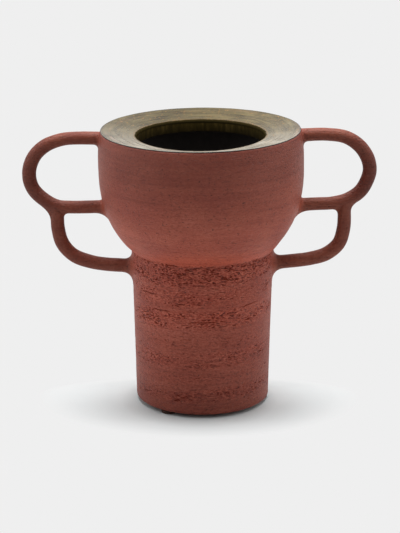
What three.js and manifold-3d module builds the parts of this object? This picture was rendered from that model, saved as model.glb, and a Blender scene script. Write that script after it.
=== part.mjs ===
import * as THREE from 'three';
import { mergeVertices } from 'three/addons/utils/BufferGeometryUtils.js';
import Module from 'manifold-3d';

// A two-handled stoneware vase: a thrown column on a base disc, a wide bowl joined on
// top of it, a flat sloping rim around the mouth, and two double loops of rolled clay.
// Millimetres, +Z up, z = 0 is the surface that the vase stands on.

// Foot, column and seam
const padRadius = 6.35;
const padThickness = 3;
const padAngles = { pad_front_left: -35, pad_right: 85, pad_back_left: -155 };
const padInset = 0.8;
const footRadius = 57.3;
const footEdgeRound = 1.6;
const columnRadius = 58.8;
const columnTopRadius = 60.8;
const columnHeight = 132.5;
const columnWall = 7.5;
const baseThickness = 8;

// Bowl and rim
const bandHeight = 9;
const bowlHeight = 102.5;
const bellyRadius = 87;
const bellyHeight = 77.5;
const bowlFullness = 2.87;
const bowlWall = 8;
const rimRadius = 84.5;
const rimThickness = 9;
const rimEdgeRound = 1.5;
const rimFall = 4.7;
const mouthRadius = 54;
const glazeThickness = 0.8;

// Handles: coils of rolled clay that run in the plane y = 0
const coilRadius = 5.75;
const rootFlare = 3;
const rootLength = 9;
const branchFlare = 2.2;
const branchLength = 6;
const rimRootSag = 1;
const sideRootSag = 0.6;
const columnRootSag = 0.15;

// The bowl leans on the column, and its handles reach further left than right
const leanDegrees = 0.95;
const footOffset = 2.65;

// Joined faces are drawn this far apart
const seatGap = 0.3;

const roundSegments = 48;
const coilSides = 10;
const coilSteps = 40;

const footHeight = padThickness;
const seamHeight = footHeight + columnHeight;
const bandTop = seamHeight + bandHeight;
const rimHeight = seamHeight + bowlHeight;
const mouthHeight = rimHeight - rimFall;
const coat = glazeThickness + seatGap;
const lean = THREE.MathUtils.degToRad(leanDegrees);

// Routes of the coils, picked along each hand-made loop. A point of an upper loop says how
// far it lies out from the belly and how far below the rim. A point of a lower loop says how
// far it lies out from the belly and how far above the seam.
const loops = {
  left: {
    side: -1,
    upper: [
      [-9, 7.7], [19.6, 7.4], [33, 8.9], [45.7, 14], [55.5, 23.7], [59.8, 37],
      [57.2, 50.6], [48, 60.7], [36.8, 66.7], [25, 67.6], [-11, 66.8],
    ],
    branch: [36.6, 70],
    lower: [[36.3, 16.4], [32.6, 2.7], [23.5, -7.7], [10.9, -13.1], [-2.6, -15.6]],
    root: -17.5,
  },
  right: {
    side: 1,
    upper: [
      [-9, 4.9], [18, 4.2], [34.4, 6.8], [45.9, 14.5], [53, 26], [54.3, 37],
      [47.6, 52.6], [36.7, 60.5], [23.4, 63.9], [10, 64.6], [-11, 65.6],
    ],
    branch: [33.7, 66.5],
    lower: [[33.4, 16.4], [29.4, 2.9], [19.1, -6.4], [6.1, -10.6], [-7.6, -12.5]],
    root: -14.9,
  },
};

const wasm = await Module();
wasm.setup();

// Outside radius of the column, a slight flare from the foot up to the seam
function columnOutside(z) {
  const t = (z - footHeight) / columnHeight;
  const middle = columnRadius * 2 - (footRadius + columnTopRadius) / 2;
  return footRadius * (1 - t) ** 2 + middle * 2 * t * (1 - t) + columnTopRadius * t * t;
}

// Outside radius of the band and the bowl: a fast flare, the belly, and a slow taper
function bowlOutside(z) {
  const rise = z - seamHeight;
  if (rise < bellyHeight) {
    const left = 1 - Math.max(rise, 0) / bellyHeight;
    return bellyRadius - (bellyRadius - columnTopRadius) * left ** bowlFullness;
  }
  const past = (rise - bellyHeight) / (bowlHeight - bellyHeight);
  return bellyRadius - (bellyRadius - rimRadius) * past ** 2;
}

function outside(z) {
  return z < seamHeight ? columnOutside(z) : bowlOutside(z);
}

// Points of an outline between two heights, moved sideways by an offset
function outlineBetween(radiusAt, low, high, count, offset) {
  const points = [];
  for (let i = 0; i <= count; i += 1) {
    const z = low + ((high - low) * i) / count;
    points.push(new THREE.Vector2(radiusAt(z) + offset, z));
  }
  return points;
}

// The bowl's lean starts at the seam and is whole at the top of the band
function leanPoint(point) {
  const share = THREE.MathUtils.smoothstep(point.z, seamHeight - 1, bandTop);
  const turn = lean * share;
  const rise = point.z - seamHeight;
  const x = point.x * Math.cos(turn) - rise * Math.sin(turn);
  const z = seamHeight + point.x * Math.sin(turn) + rise * Math.cos(turn);
  return point.set(x, point.y, z);
}

// A turned form from an outline of (radius, height) points, leaning with the bowl
function turned(outline) {
  const geometry = new THREE.LatheGeometry(outline, roundSegments);
  geometry.rotateX(Math.PI / 2);
  const position = geometry.attributes.position;
  const point = new THREE.Vector3();
  for (let i = 0; i < position.count; i += 1) {
    leanPoint(point.fromBufferAttribute(position, i));
    position.setXYZ(i, point.x, point.y, point.z);
  }
  return geometry;
}

// A ring whose section has an outer outline going up and an inner one going down
function ring(outer, inner) {
  const outline = [...outer, ...inner.slice().reverse()];
  outline.push(outline[0].clone());
  return turned(outline);
}

// A closed geometry as a solid that can be joined and cut
function toSolid(geometry) {
  const bare = new THREE.BufferGeometry();
  bare.setAttribute('position', geometry.attributes.position.clone());
  bare.setIndex(geometry.index);
  const merged = mergeVertices(bare, 1e-4);
  const corners = [];
  const index = merged.index.array;
  for (let i = 0; i < index.length; i += 3) {
    const [a, b, c] = [index[i], index[i + 1], index[i + 2]];
    if (a !== b && b !== c && c !== a) {
      corners.push(a, b, c);
    }
  }
  return new wasm.Manifold(new wasm.Mesh({
    numProp: 3,
    vertProperties: new Float32Array(merged.attributes.position.array),
    triVerts: new Uint32Array(corners),
  }));
}

function toGeometry(solid) {
  const mesh = solid.getMesh();
  const geometry = new THREE.BufferGeometry();
  geometry.setAttribute('position', new THREE.BufferAttribute(mesh.vertProperties, 3));
  geometry.setIndex(new THREE.BufferAttribute(mesh.triVerts, 1));
  geometry.computeVertexNormals();
  return geometry;
}

function redClay() {
  return new THREE.MeshStandardMaterial({ color: 0x7d4338, roughness: 0.85, metalness: 0 });
}

function bandClay() {
  return new THREE.MeshStandardMaterial({ color: 0x8b473b, roughness: 0.8, metalness: 0 });
}

function oliveGlaze() {
  return new THREE.MeshStandardMaterial({ color: 0x9b8f7c, roughness: 0.4, metalness: 0 });
}

function darkGlaze() {
  return new THREE.MeshStandardMaterial({ color: 0x241f16, roughness: 0.3, metalness: 0 });
}

function brownFelt() {
  return new THREE.MeshStandardMaterial({ color: 0x2b150c, roughness: 1, metalness: 0 });
}

// The disc that closes the bottom of the column
function baseSlab() {
  const radius = footRadius - columnWall - seatGap;
  const top = footHeight + baseThickness;
  return turned([
    new THREE.Vector2(0, footHeight),
    new THREE.Vector2(radius, footHeight),
    new THREE.Vector2(radius, top),
    new THREE.Vector2(0, top),
  ]);
}

// The thrown column, with a softened edge at the foot
function columnShell() {
  const top = seamHeight - seatGap;
  const outer = [
    new THREE.Vector2(footRadius - footEdgeRound, footHeight),
    new THREE.Vector2(footRadius - footEdgeRound * 0.3, footHeight + footEdgeRound * 0.3),
    ...outlineBetween(columnOutside, footHeight + footEdgeRound, top, 8, 0),
  ];
  const inner = outlineBetween(columnOutside, footHeight, top, 4, -columnWall);
  return ring(outer, inner);
}

// The band of clay pressed over the seam between column and bowl
function bandRing() {
  const top = bandTop - seatGap;
  const outer = outlineBetween(bowlOutside, seamHeight, top, 6, 0);
  const inner = outlineBetween(bowlOutside, seamHeight, top, 3, -bowlWall);
  return ring(outer, inner);
}

function underRim(z) {
  return bowlOutside(z) - bowlWall;
}

// The bowl's wall, from the band to the underside of the rim
function bowlShell() {
  const top = rimHeight - rimThickness - seatGap;
  const outer = outlineBetween(bowlOutside, bandTop, top, 14, 0);
  const inner = outlineBetween(underRim, bandTop, top, 8, 0);
  return ring(outer, inner);
}

// The rim: a flat ring that falls towards the mouth, as seen under its glaze
function rimSection(drop) {
  const top = rimHeight - drop;
  const bottom = rimHeight - rimThickness;
  const mouth = mouthRadius + coat;
  return {
    outer: [
      new THREE.Vector2(bowlOutside(bottom), bottom),
      new THREE.Vector2(bowlOutside(top - rimEdgeRound), top - rimEdgeRound),
      new THREE.Vector2(rimRadius - rimEdgeRound * 0.3, top - rimEdgeRound * 0.3),
      new THREE.Vector2(rimRadius - rimEdgeRound, top),
    ],
    inner: [
      new THREE.Vector2(bowlOutside(bottom) - bowlWall, bottom),
      new THREE.Vector2(mouth, mouthHeight - rimThickness),
      new THREE.Vector2(mouth, mouthHeight - drop),
    ],
  };
}

function rimRing() {
  const section = rimSection(coat);
  return ring(section.outer, section.inner);
}

// The glaze on the rim's top, seated on the clay
function rimCoat() {
  const edge = rimRadius - rimEdgeRound;
  return ring(
    [new THREE.Vector2(edge, rimHeight - glazeThickness), new THREE.Vector2(edge, rimHeight)],
    [
      new THREE.Vector2(mouthRadius + coat, mouthHeight - glazeThickness),
      new THREE.Vector2(mouthRadius + coat, mouthHeight),
    ],
  );
}

// The glaze inside: the mouth, under the rim, down the bowl and column, over the base
function liningSkin(offset) {
  const bottom = footHeight + baseThickness + offset;
  const rimUnder = rimHeight - rimThickness - offset;
  const mouthUnder = mouthHeight - rimThickness - offset;
  return [
    new THREE.Vector2(0, bottom),
    ...outlineBetween(columnOutside, bottom, seamHeight - seatGap, 3, -columnWall - offset),
    ...outlineBetween(bowlOutside, seamHeight, bandTop, 3, -bowlWall - offset),
    ...outlineBetween(bowlOutside, bandTop, rimUnder, 8, -bowlWall - offset).slice(1),
    new THREE.Vector2(mouthRadius + coat - offset, mouthUnder),
    new THREE.Vector2(mouthRadius + coat - offset, mouthHeight - glazeThickness),
  ];
}

function lining() {
  const clayside = liningSkin(seatGap);
  const hollowside = liningSkin(coat);
  return turned([...clayside, ...hollowside.reverse()]);
}

// A filled copy of the whole body, grown by the seat gap, that the coils are cut with
function bodyKeepOut() {
  const outline = [
    new THREE.Vector2(0, footHeight),
    ...outlineBetween(outside, footHeight, seamHeight, 8, seatGap),
    ...outlineBetween(outside, seamHeight + 1, rimHeight - rimEdgeRound, 22, seatGap),
    new THREE.Vector2(rimRadius - rimEdgeRound + seatGap, rimHeight + seatGap),
    new THREE.Vector2(0, rimHeight + seatGap),
  ];
  return toSolid(turned(outline));
}

// The middle line of an upper loop: both ends lie inside the bowl
function upperRoute({ side, upper }) {
  return new THREE.CatmullRomCurve3(
    upper.map(([out, drop]) => new THREE.Vector3(side * (bellyRadius + out), 0, rimHeight - drop)),
  );
}

// The middle line of a lower loop: from inside the upper loop to inside the column
function lowerRoute({ side, branch, lower, root }) {
  const [branchOut, branchDrop] = branch;
  return new THREE.CatmullRomCurve3([
    new THREE.Vector3(side * (bellyRadius + branchOut), 0, rimHeight - branchDrop),
    ...lower.map(([out, rise]) => new THREE.Vector3(side * (bellyRadius + out), 0, seamHeight + rise)),
    new THREE.Vector3(side * (columnTopRadius - coilRadius), 0, seamHeight + root),
  ]);
}

// A round coil along a route
function coil(curve, radius) {
  const section = new THREE.Shape();
  for (let i = 0; i < coilSides; i += 1) {
    const angle = (2 * Math.PI * i) / coilSides;
    const corner = [radius * Math.cos(angle), radius * Math.sin(angle)];
    if (i === 0) {
      section.moveTo(...corner);
    } else {
      section.lineTo(...corner);
    }
  }
  return toSolid(new THREE.ExtrudeGeometry(section, { steps: coilSteps, extrudePath: curve }));
}

// The flare where a coil is pressed on: a short trumpet from the surface outwards. It sags,
// by a share of its own width, where the clay was pressed on from below.
function flare(start, direction, wide, length, sag) {
  const outline = [new THREE.Vector2(0, -coilRadius), new THREE.Vector2(coilRadius + wide, -coilRadius)];
  for (let i = 0; i <= 3; i += 1) {
    const left = 1 - i / 3;
    outline.push(new THREE.Vector2(coilRadius + wide * left ** 2 - seatGap * 0.1, length * (1 - left)));
  }
  outline.push(new THREE.Vector2(0, length));
  const geometry = new THREE.LatheGeometry(outline, coilSides * 2);
  const up = new THREE.Vector3(0, 1, 0);
  const turn = new THREE.Quaternion().setFromUnitVectors(up, direction);
  const position = geometry.attributes.position;
  const point = new THREE.Vector3();
  for (let i = 0; i < position.count; i += 1) {
    point.fromBufferAttribute(position, i);
    const left = 1 - THREE.MathUtils.clamp(point.y / length, 0, 1);
    point.applyQuaternion(turn).add(start);
    position.setXYZ(i, point.x, point.y, point.z - sag * wide * left ** 2);
  }
  return toSolid(geometry);
}

// Where a route leaves the body, from one of its ends
function bodyExit(curve, fromEnd) {
  const point = new THREE.Vector3();
  for (let i = 0; i <= 400; i += 1) {
    const t = fromEnd ? 1 - i / 400 : i / 400;
    curve.getPoint(t, point);
    if (Math.abs(point.x) > outside(point.z)) {
      const direction = curve.getTangent(t).multiplyScalar(fromEnd ? -1 : 1);
      return { point: point.clone(), direction };
    }
  }
  return null;
}

function rootFlareAt(curve, fromEnd, sag) {
  const exit = bodyExit(curve, fromEnd);
  return flare(exit.point, exit.direction, rootFlare, rootLength, sag);
}

// An upper loop: from the rim out and back to the bowl's side
function upperLoop(loop, keepOut) {
  const curve = upperRoute(loop);
  return coil(curve, coilRadius)
    .add(rootFlareAt(curve, false, rimRootSag))
    .add(rootFlareAt(curve, true, sideRootSag))
    .subtract(keepOut);
}

// A lower loop: from under the upper loop down to the top of the column
function lowerLoop(loop, keepOut) {
  const curve = lowerRoute(loop);
  const start = curve.getPoint(0);
  const branch = new THREE.Vector3(start.x, 0, start.z - coilRadius);
  const down = new THREE.Vector3(0, 0, -1);
  return coil(curve, coilRadius)
    .add(rootFlareAt(curve, true, columnRootSag))
    .add(flare(branch, down, branchFlare, branchLength, 0))
    .subtract(coil(upperRoute(loop), coilRadius + seatGap))
    .subtract(keepOut);
}

// A felt disc under the foot
function pad(degrees) {
  const reach = footRadius - footEdgeRound + padInset - padRadius;
  const angle = THREE.MathUtils.degToRad(degrees);
  const geometry = new THREE.CylinderGeometry(padRadius, padRadius, padThickness - seatGap, 24);
  geometry.rotateX(Math.PI / 2);
  const middle = (padThickness - seatGap) / 2;
  geometry.translate(reach * Math.sin(angle), -reach * Math.cos(angle), middle);
  return geometry;
}

const vase = new THREE.Group();
vase.position.x = footOffset;

function addPiece(name, geometry, material) {
  const mesh = new THREE.Mesh(geometry, material);
  mesh.name = name;
  vase.add(mesh);
}

addPiece('base_slab', baseSlab(), redClay());
addPiece('column_wall', columnShell(), redClay());
addPiece('joint_band', bandRing(), bandClay());
addPiece('bowl_wall', bowlShell(), redClay());
addPiece('rim_plate', rimRing(), redClay());
addPiece('rim_glaze', rimCoat(), oliveGlaze());
addPiece('lining_glaze', lining(), darkGlaze());

const keepOut = bodyKeepOut();
for (const [side, loop] of Object.entries(loops)) {
  addPiece(`upper_loop_${side}`, toGeometry(upperLoop(loop, keepOut)), redClay());
  addPiece(`lower_loop_${side}`, toGeometry(lowerLoop(loop, keepOut)), redClay());
}

for (const [name, degrees] of Object.entries(padAngles)) {
  addPiece(name, pad(degrees), brownFelt());
}

export default vase;
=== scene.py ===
"""A two-handled stoneware vase: its surfaces, and a plain pale studio with the camera."""
import math

import bpy
import numpy as np
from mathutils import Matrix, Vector


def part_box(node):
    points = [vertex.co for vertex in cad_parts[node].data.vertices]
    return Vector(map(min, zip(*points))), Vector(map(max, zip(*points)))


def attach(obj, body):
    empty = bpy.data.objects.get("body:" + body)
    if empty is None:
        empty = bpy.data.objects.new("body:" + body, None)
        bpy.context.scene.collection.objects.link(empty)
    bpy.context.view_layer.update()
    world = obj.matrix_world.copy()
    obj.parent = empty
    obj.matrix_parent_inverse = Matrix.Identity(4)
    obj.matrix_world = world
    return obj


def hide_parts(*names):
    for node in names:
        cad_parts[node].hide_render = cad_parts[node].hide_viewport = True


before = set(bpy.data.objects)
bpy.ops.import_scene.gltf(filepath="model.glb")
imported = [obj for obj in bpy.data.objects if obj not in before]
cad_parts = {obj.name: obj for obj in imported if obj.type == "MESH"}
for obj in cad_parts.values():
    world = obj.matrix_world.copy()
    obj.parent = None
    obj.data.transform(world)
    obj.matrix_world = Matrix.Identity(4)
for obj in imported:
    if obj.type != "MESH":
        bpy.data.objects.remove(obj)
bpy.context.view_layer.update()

MM = 0.001

# Edges that turn by more than this many degrees stay crisp
SHARP_ANGLE = 62

# Where a Mix node for colours takes its share and its two colours, and gives its result
MIX_INPUTS = (0, 6, 7)
MIX_OUTPUT = 2


def linear(red, green, blue):
    """A colour given as 0 to 255 screen values, as the linear values that shaders take."""
    parts = []
    for value in (red, green, blue):
        share = value / 255
        parts.append(share / 12.92 if share <= 0.04045 else ((share + 0.055) / 1.055) ** 2.4)
    return tuple(parts)


# Sizes of the vase in millimetres, as in the part's source
FOOT_HEIGHT = 3.0
FOOT_RADIUS = 57.3
FOOT_EDGE_ROUND = 1.6
COLUMN_RADIUS = 58.8
COLUMN_TOP_RADIUS = 60.8
COLUMN_HEIGHT = 132.5
COLUMN_WALL = 7.5
BASE_THICKNESS = 8.0
BAND_HEIGHT = 9.0
BOWL_HEIGHT = 102.5
BELLY_RADIUS = 87.0
BELLY_HEIGHT = 77.5
BOWL_FULLNESS = 2.87
BOWL_WALL = 8.0
RIM_RADIUS = 84.5
RIM_THICKNESS = 9.0
RIM_FALL = 4.7
MOUTH_RADIUS = 54.0
COLLAR_RADIUS = MOUTH_RADIUS + 1
GLAZE_THICKNESS = 0.8
HEM_HEIGHT = 0.5
LIP_ROUND = 2.2
LINING_GAP = 0.1
LINING_THICKNESS = 1.0
COIL_RADIUS = 5.75
FOOT_OFFSET = 2.65

# The bowl leans. Its rim stands above the turned form by a lift, more at the left and at the
# front by a tilt. Its mouth is a little oval, and low at the front.
LEAN = math.radians(0.95)
RIM_LIFT = 0.55
RIM_TILT = (0.007, 0.005)
MOUTH_OVAL = 0.03
FRONT_DIP = 1.05

SEAM = FOOT_HEIGHT + COLUMN_HEIGHT
BAND_TOP = SEAM + BAND_HEIGHT
RIM_HEIGHT = SEAM + BOWL_HEIGHT
RIM_UNDER = RIM_HEIGHT - RIM_THICKNESS
MOUTH_HEIGHT = RIM_HEIGHT - RIM_FALL

# Routes of the coils, as in the part's source: upper points are (out from the belly, below
# the rim), lower points are (out from the belly, above the seam).
LOOPS = {
    "left": {
        "side": -1,
        "upper": [(-9, 7.7), (19.6, 7.4), (33, 8.9), (45.7, 14), (55.5, 23.7), (59.8, 37),
                  (57.2, 50.6), (48, 60.7), (36.8, 66.7), (25, 67.6), (-11, 66.8)],
        "branch": (36.6, 70),
        "lower": [(36.3, 16.4), (32.6, 2.7), (23.5, -7.7), (10.9, -13.1), (-2.6, -15.6)],
        "root": -17.5,
        "branch_root": (10.0, 4.2),
    },
    "right": {
        "side": 1,
        "upper": [(-9, 4.9), (18, 4.2), (34.4, 6.8), (45.9, 14.5), (53, 26), (54.3, 37),
                  (47.6, 52.6), (36.7, 60.5), (23.4, 63.9), (10, 64.6), (-11, 65.6)],
        "branch": (33.7, 66.5),
        "lower": [(33.4, 16.4), (29.4, 2.9), (19.1, -6.4), (6.1, -10.6), (-7.6, -12.5)],
        "root": -14.9,
        "branch_root": (6.0, 6.0),
    },
}

# The coils were rolled by hand: their radius at shares of their length
UPPER_COIL = [(0, 5.6), (0.2, 5.5), (0.45, 5.95), (0.65, 5.9), (0.8, 5.45), (1, 5.6)]
LOWER_COIL = [(0.12, 5.8), (0.35, 5.95), (0.7, 5.8), (1, 6.0)]

# How much thinner a lower coil is than the upper one where it meets it
BRANCH_TUCK = 0.12

# Sizes of the fillets where the coils were pressed on: at the body as (on top, underneath),
# and in the list of loops, where a lower coil meets the upper one, as (outer side, inner side)
RIM_ROOT = (0.4, 4.8)
SIDE_ROOT = (2.6, 10.5)
COLUMN_ROOT = (7.5, 10.0)

# How far the coils' routes run on into the body, their step, and the spacing of the rings
ROOT_EXTENSION = 16
ROUTE_STEP = 0.4
COIL_ROWS = 0.9

# The coils take this share of the body's tone, with its painted light by height, up to the first
# distance from it, and none past the second
ROOT_SHARE = 0.85
ROOT_START = 0.3
ROOT_BLEND = 5.0

# Within these distances of a branch and of the body the coils keep their plain round form.
# Elsewhere they swell and have a little grain.
BRANCH_CALM = 17
BODY_CALM = 4
COIL_SWELL = 0.2
COIL_GRAIN = 0.05

# Bands where the grog tore the column's surface: height, half width, strength, patchiness
TORN_BANDS = [(128.5, 13, 1.0, 0.15), (108, 9, 0.62, 0.7), (88, 9, 0.85, 0.7),
              (66, 5, 0.3, 0.8), (52, 8, 0.6, 1.1), (36, 5, 0.28, 0.8), (20, 6, 0.75, 0.8)]

# The bands climb a little to the left, and wander
BAND_CLIMB = 0.05
BAND_WANDER = 1.6

# How torn the clay is between the bands, and at most
TORN_LEAST = 0.17
TORN_MOST = 1.05

# The pits come from layers of noise: cell in millimetres, strength and seed
TORN_LAYERS = [((3.7, 3.7, 1.1), 0.56, 11), ((2.0, 2.0, 0.8), 0.68, 12),
               ((12, 12, 2.2), 0.28, 15)]

# Noise above an edge is a pit. The edge falls as the clay is more torn.
PIT_EDGE = 0.84
PIT_EDGE_FALL = 0.65
PIT_GROWTH = 0.8
PIT_SOFTNESS = 0.22

# Broken grooves round the column: their heights, and half their width
GROOVE_HEIGHTS = (96.0, 108.5, 86.5, 71.0, 46.0)
GROOVE_WIDTH = 0.45

# Depths of the relief on the column, and on the bowl and rim
PIT_DEPTH = 0.55
TORN_DEPTH = 0.22
UNEVEN_DEPTH = 0.12
RING_DEPTH = 0.07
SWELL_DEPTH = 0.16

# How far the torn marks run up the band, and how much that varies
EDGE_REACH = 2.6
EDGE_RAGGED = 1.6

# How finely the turned forms are divided: spacing of the rows, and points round the axis
FINE_ROWS = 0.34
FINE_TURNS = 840
BOWL_ROWS = 0.9
BOWL_TURNS = 480
GLAZE_ROWS = 0.5
HIDDEN_TURNS = 240
FELT_ROWS = 0.6
FELT_TURNS = 96


def smoothstep(low, high, value):
    t = np.clip((value - low) / (high - low), 0, 1)
    return t * t * (3 - 2 * t)


def gradient_noise(points, seed):
    """Smooth noise from about -1 to 1 at each row of points, a lattice cell to a unit."""
    rng = np.random.default_rng(seed)
    table = rng.permutation(256)
    slopes = rng.normal(size=(256, 3))
    slopes /= np.linalg.norm(slopes, axis=1)[:, None]
    cell = np.floor(points).astype(int)
    inside = points - cell
    fade = inside ** 3 * (inside * (inside * 6 - 15) + 10)
    total = np.zeros(len(points))
    for corner in np.ndindex(2, 2, 2):
        at = cell + corner
        key = table[at[:, 0] & 255]
        key = table[(key + at[:, 1]) & 255]
        key = table[(key + at[:, 2]) & 255]
        weight = np.prod(np.where(corner, fade, 1 - fade), axis=1)
        total += weight * np.sum(slopes[key] * (inside - corner), axis=1)
    return total * 1.6


def column_outside(z):
    t = (z - FOOT_HEIGHT) / COLUMN_HEIGHT
    middle = COLUMN_RADIUS * 2 - (FOOT_RADIUS + COLUMN_TOP_RADIUS) / 2
    return FOOT_RADIUS * (1 - t) ** 2 + middle * 2 * t * (1 - t) + COLUMN_TOP_RADIUS * t * t


def bowl_outside(z):
    rise = z - SEAM
    left = np.clip(1 - rise / BELLY_HEIGHT, 0, 1)
    flare = BELLY_RADIUS - (BELLY_RADIUS - COLUMN_TOP_RADIUS) * left ** BOWL_FULLNESS
    past = np.clip((rise - BELLY_HEIGHT) / (BOWL_HEIGHT - BELLY_HEIGHT), 0, 1)
    return flare - (BELLY_RADIUS - RIM_RADIUS) * past ** 2


def outside(z):
    return np.where(z < SEAM, column_outside(z), bowl_outside(z))


def turned_by(points, angles):
    """Points turned about the seam's centre, in the plane of the handles."""
    rise = points[:, 2] - SEAM
    out = points.copy()
    out[:, 0] = points[:, 0] * np.cos(angles) - rise * np.sin(angles)
    out[:, 2] = SEAM + points[:, 0] * np.sin(angles) + rise * np.cos(angles)
    return out


def lean_at(height):
    """The bowl's lean: nothing below the seam, and whole from the top of the band."""
    return LEAN * smoothstep(SEAM - 1, BAND_TOP, height)


def rise_at(points):
    """How far the bowl's upper part stands above its turned form, most of all at the left."""
    rise = RIM_LIFT - RIM_TILT[0] * points[:, 0] - RIM_TILT[1] * points[:, 1]
    return rise * smoothstep(BAND_TOP, RIM_HEIGHT, points[:, 2])


def leaned(points):
    """The turned form as it stands: the mouth oval and low at the front, the bowl leaning."""
    radius = np.hypot(points[:, 0], points[:, 1])
    near_mouth = smoothstep(RIM_RADIUS - 4, MOUTH_RADIUS + LIP_ROUND, radius)
    near_mouth *= smoothstep(RIM_UNDER - 12, RIM_UNDER - 4, points[:, 2])
    front = np.clip(-points[:, 1] / MOUTH_RADIUS, 0, 1)
    out = points.copy()
    out[:, 1] *= 1 + MOUTH_OVAL * near_mouth
    out[:, 2] -= FRONT_DIP * near_mouth * front ** 2
    out = turned_by(out, lean_at(points[:, 2]))
    out[:, 2] += rise_at(points)
    return out


def upright(points):
    """Leaned points put back upright, with the rim's rise taken off."""
    out = points.copy()
    out[:, 2] -= rise_at(points)
    return turned_by(out, -lean_at(out[:, 2]))


def placed(points):
    """Millimetres about the foot's axis, as metres in the frame."""
    return (points + (FOOT_OFFSET, 0, 0)) * MM


def mesh_piece(name, points, faces, material, marks=None):
    """A smooth mesh piece; marks are named values, one for each point, for its material."""
    mesh = bpy.data.meshes.new(name)
    mesh.from_pydata(points.tolist(), [], faces)
    mesh.update()
    mesh.polygons.foreach_set("use_smooth", [True] * len(mesh.polygons))
    mesh.set_sharp_from_angle(angle=math.radians(SHARP_ANGLE))
    mesh.materials.append(material)
    for mark, values in (marks or {}).items():
        layer = mesh.attributes.new(mark, "FLOAT", "POINT")
        layer.data.foreach_set("value", np.asarray(values, np.float32))
    piece = bpy.data.objects.new(name, mesh)
    bpy.context.scene.collection.objects.link(piece)
    return piece


def dress(piece, node):
    """Put the piece in a node's place, on the only body."""
    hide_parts(node)
    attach(piece, "root")


def ring_faces(rows, turns, closed):
    """Quads between rings of points, with caps on the first and last unless closed."""
    faces = []
    for i in range(rows if closed else rows - 1):
        low = i * turns
        high = ((i + 1) % rows) * turns
        faces += [(low + j, low + (j + 1) % turns, high + (j + 1) % turns, high + j)
                  for j in range(turns)]
    if not closed:
        faces.append(tuple(range(turns))[::-1])
        faces.append(tuple((rows - 1) * turns + j for j in range(turns)))
    return faces


def around(rows, turns):
    """Radius, height and angle of each point that rows of (radius, height) give when turned."""
    angle = np.tile(np.arange(turns) * 2 * math.pi / turns, len(rows))
    return np.repeat(rows[:, 0], turns), np.repeat(rows[:, 1], turns), angle


def round_axis(radius, height, angle):
    """Points about an upright axis, with angles from the front towards the right."""
    return np.stack([radius * np.sin(angle), -radius * np.cos(angle), height], axis=1)


def turned_piece(name, outline, material, turns, closed=True, relief=None):
    """A form turned from (radius, height) points; relief moves and marks its points."""
    rows = np.array(outline, float)
    radius, height, angle = around(rows, turns)
    marks = None
    if relief is not None:
        radius, height, marks = relief(radius, height, angle)
    points = placed(leaned(round_axis(radius, height, angle)))
    return mesh_piece(name, points, ring_faces(len(rows), turns, closed), material, marks)


def outline_between(radius_at, low, high, spacing, offset=0.0):
    """Points of a turned surface from a low height to a high one, moved out by offset."""
    count = max(2, int(math.ceil((high - low) / spacing)) + 1)
    heights = np.linspace(low, high, count)
    return [(float(radius_at(z)) + offset, float(z)) for z in heights]


def sampled(outline, spacing):
    """The outline with more points put between its own, none further apart than spacing."""
    outline = np.array(outline, float)
    rows = []
    for start, end in zip(outline[:-1], outline[1:]):
        count = max(1, int(math.ceil(np.linalg.norm(end - start) / spacing)))
        rows += [start + (end - start) * i / count for i in range(count)]
    rows.append(outline[-1])
    return np.array(rows)


def rounded(centre, radius, start, end, count=6):
    """Points of an arc in the outline's plane, with angles in degrees from outwards."""
    angles = np.radians(np.linspace(start, end, count))
    return [(centre[0] + radius * math.cos(a), centre[1] + radius * math.sin(a)) for a in angles]


def on_outside(radius, height, skin):
    """1 for points less than the skin's depth under the outside, and 0 for those further in."""
    return (radius > outside(height) - skin).astype(float)


def turning(radius, height, angle):
    """Faint rings and soft unevenness left by the potter's hands."""
    place = round_axis(radius, height, angle)
    rings = gradient_noise(place / (180, 180, 3.4), 21)
    swell = gradient_noise(place / (36, 36, 22), 22)
    outer = on_outside(radius, height, skin=1.0)
    marks = {"pit": 0 * height, "torn": 0 * height}
    return radius + outer * (RING_DEPTH * rings + SWELL_DEPTH * swell), height, marks


def torn(radius, height, angle):
    """Pits and drags where coarse grog was pulled round the column while it turned."""
    place = round_axis(radius, height, angle)
    wander = gradient_noise(place / 34, 9)
    level = height - BAND_CLIMB * place[:, 0] + BAND_WANDER * wander
    ragged = gradient_noise(place / 3.1, 10)
    drawn = place.copy()
    drawn[:, 2] = level + 0.35 * ragged
    streak = sum(strength * gradient_noise(drawn / cell, seed)
                 for cell, strength, seed in TORN_LAYERS)
    patches = gradient_noise(drawn / (26, 26, 10), 13)
    share = np.zeros_like(height)
    for middle, half, strength, patchy in TORN_BANDS:
        window = np.exp(-((level - middle) / half) ** 4)
        share = np.maximum(share, strength * window * (1 + patchy * patches))
    share = np.clip(share, TORN_LEAST, TORN_MOST)
    edge = PIT_EDGE - PIT_EDGE_FALL * share ** PIT_GROWTH
    pits = smoothstep(edge, edge + PIT_SOFTNESS, streak)
    for number, groove in enumerate(GROOVE_HEIGHTS):
        broken = gradient_noise(place / 26 + 7.0 * number, 16)
        line = np.exp(-((level + 0.5 * ragged - groove) / GROOVE_WIDTH) ** 2)
        pits = np.maximum(pits, line * smoothstep(0.15, 0.5, broken))
    soft = gradient_noise(place / (40, 40, 9), 14)
    outer = on_outside(radius, height, skin=2.0)
    depth = PIT_DEPTH * pits + TORN_DEPTH * share * (0.4 - streak) - UNEVEN_DEPTH * soft
    marks = {"pit": pits * outer, "torn": share * outer}
    return radius - outer * depth, height, marks


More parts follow.
